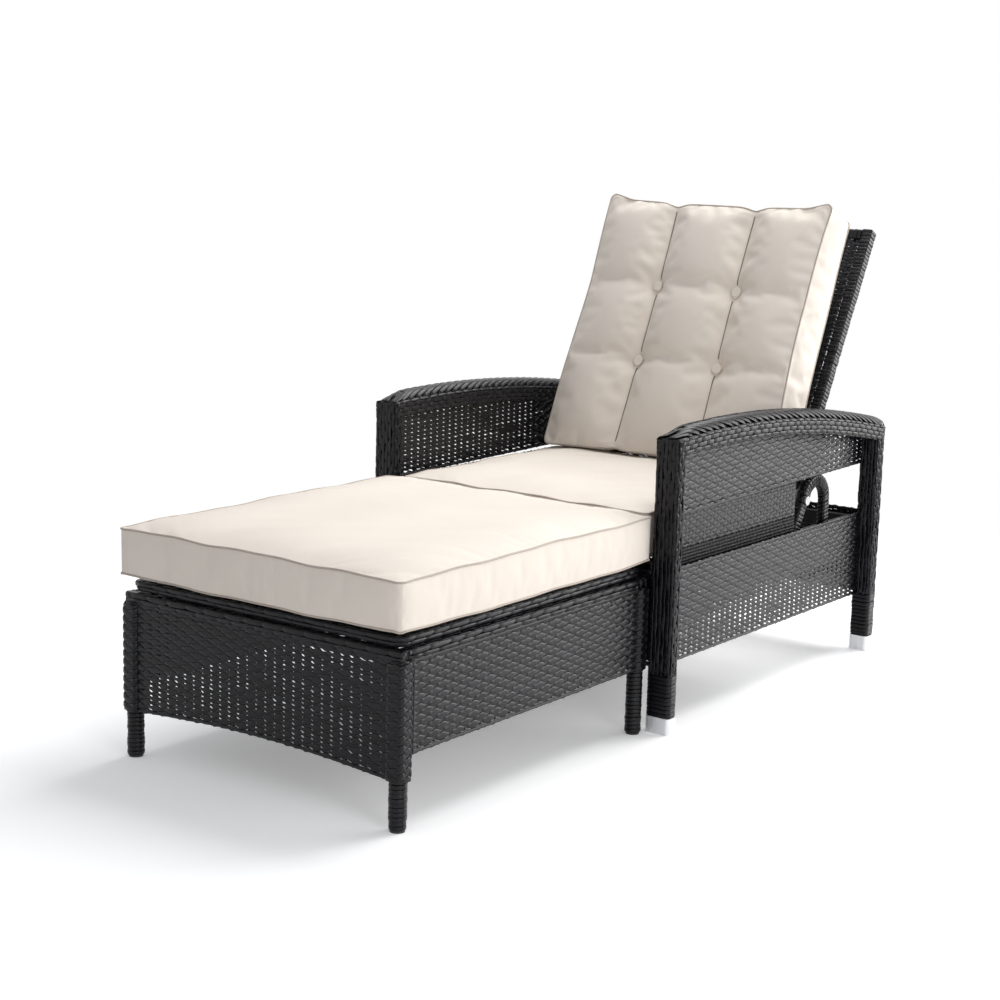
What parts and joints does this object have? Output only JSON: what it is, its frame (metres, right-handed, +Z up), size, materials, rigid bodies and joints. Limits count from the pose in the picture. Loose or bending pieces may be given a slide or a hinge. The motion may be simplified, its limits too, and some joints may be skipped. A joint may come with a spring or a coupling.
{
  "type": "rattan sun lounger",
  "caption": "Woven resin rattan arm chair with a reclining tufted back, and a matching cushioned footstool pushed up to its front to make a sun lounger.",
  "frame": {"origin": "centre of the lounger's footprint, on the floor", "axes": "+Z up, +Y from the footstool to the backrest, +X to the sitter's left"},
  "size_m": [0.68, 1.569, 0.9137],
  "materials": {
    "rattan": "woven flat strip of black resin rattan with a low sheen",
    "frame_tube": "black powder coat",
    "cap_metal": "satin",
    "steel": "zinc plated",
    "nylon": "moulded",
    "cushion_fabric": "woven polyester in warm off-white over foam"
  },
  "bodies": {
    "chair": {"arm_left": "rattan", "arm_panel_left": "rattan", "arm_panel_right": "rattan", "arm_right": "rattan", "bracket_screws": "steel", "corner_brackets": "steel", "foot_caps": "cap_metal", "front_apron": "rattan", "front_cross_rail": "frame_tube", "front_post_left": "rattan", "front_post_right": "rattan", "hinge_arch_left": "rattan", "hinge_arch_right": "rattan", "hinge_pins": "steel", "ratchet_discs": "steel", "rear_apron": "rattan", "rear_cross_rail": "frame_tube", "rear_post_left": "rattan", "rear_post_right": "rattan", "seat_cross_bar": "frame_tube", "seat_cushion": "cushion_fabric", "seat_deck": "rattan", "seat_rail_front": "frame_tube", "seat_rail_left": "frame_tube", "seat_rail_rear": "frame_tube", "seat_rail_right": "frame_tube", "seat_side_panel_left": "rattan", "seat_side_panel_right": "rattan", "side_rail_left": "frame_tube", "side_rail_right": "frame_tube", "side_skirt_left": "rattan", "side_skirt_right": "rattan"},
    "backrest": {"back_stile_left": "rattan", "back_stile_right": "rattan", "back_top_rail": "rattan", "back_bottom_rail": "rattan", "back_panel": "rattan", "hinge_bushes": "nylon", "pawl_discs": "steel", "back_cushion": "cushion_fabric", "tuft_buttons": "cushion_fabric"},
    "footstool": {"stool_cross_bar": "frame_tube", "stool_deck": "rattan", "stool_deck_frame": "rattan", "stool_glides": "nylon", "stool_leg_front_left": "rattan", "stool_leg_front_right": "rattan", "stool_leg_rear_left": "rattan", "stool_leg_rear_right": "rattan", "stool_panel_front": "rattan", "stool_panel_left": "rattan", "stool_panel_rear": "rattan", "stool_panel_right": "rattan", "stool_rail_front": "rattan", "stool_rail_left": "rattan", "stool_rail_rear": "rattan", "stool_rail_right": "rattan", "foot_cushion": "cushion_fabric"}
  },
  "joints": [
    {"name": "recline", "type": "hinge", "parent": "chair", "child": "backrest", "pos_m": [0, 0.49167, 0.338], "axis": [-1, 0, 0], "range_deg": [0, 50]},
    {"name": "footstool_slide", "type": "slide", "parent": "chair", "child": "footstool", "axis": [0, -1, 0], "range_m": [0, 0.6]}
  ]
}
